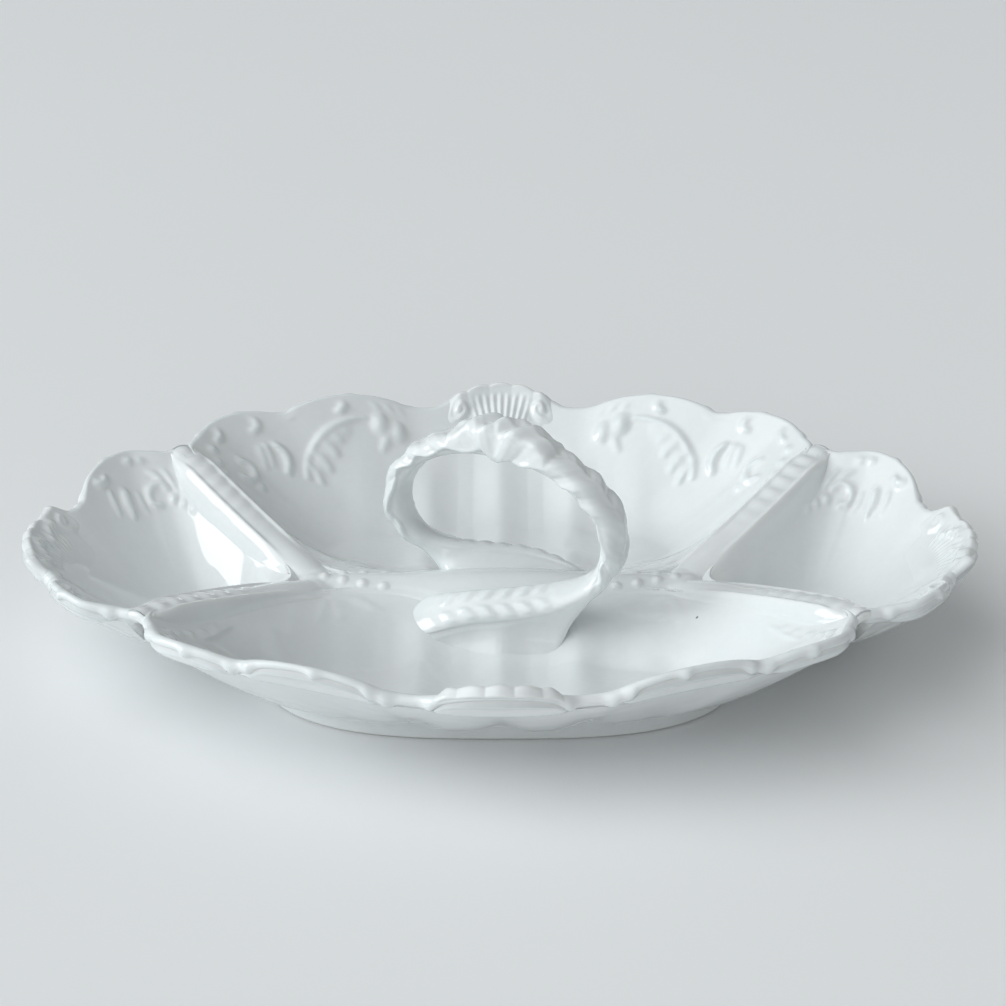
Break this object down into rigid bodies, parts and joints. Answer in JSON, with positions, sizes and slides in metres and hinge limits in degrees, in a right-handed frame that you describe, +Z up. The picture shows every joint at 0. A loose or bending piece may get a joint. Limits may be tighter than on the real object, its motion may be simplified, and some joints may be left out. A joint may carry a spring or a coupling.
{
  "type": "divided serving dish",
  "caption": "Oval white glazed serving dish: lobed, scroll-edged wells parted by raised dividers, with a twisted ribbon ring handle in the middle and a foot ring.",
  "frame": {"origin": "on the table plane under the middle of the dish", "axes": "+X along the dish's length, -Y towards the front broad well, +Z up"},
  "size_m": [0.333, 0.2484, 0.0857],
  "materials": {
    "glaze": "glossy white glaze",
    "foot": "white glaze with a bare, smooth biscuit foot edge"
  },
  "bodies": {
    "root": {"well_front": "glaze", "well_back": "glaze", "well_left": "glaze", "well_right": "glaze", "rim_shell_front": "glaze", "rim_shell_back": "glaze", "rim_shell_left": "glaze", "rim_shell_right": "glaze", "divider_arm_front_left": "glaze", "divider_arm_front_right": "glaze", "divider_arm_back_left": "glaze", "divider_arm_back_right": "glaze", "divider_spine": "glaze", "foot_ring": "foot", "handle_loop": "glaze", "handle_tail_front": "glaze", "handle_tail_rear": "glaze", "handle_crest": "glaze"}
  },
  "joints": []
}
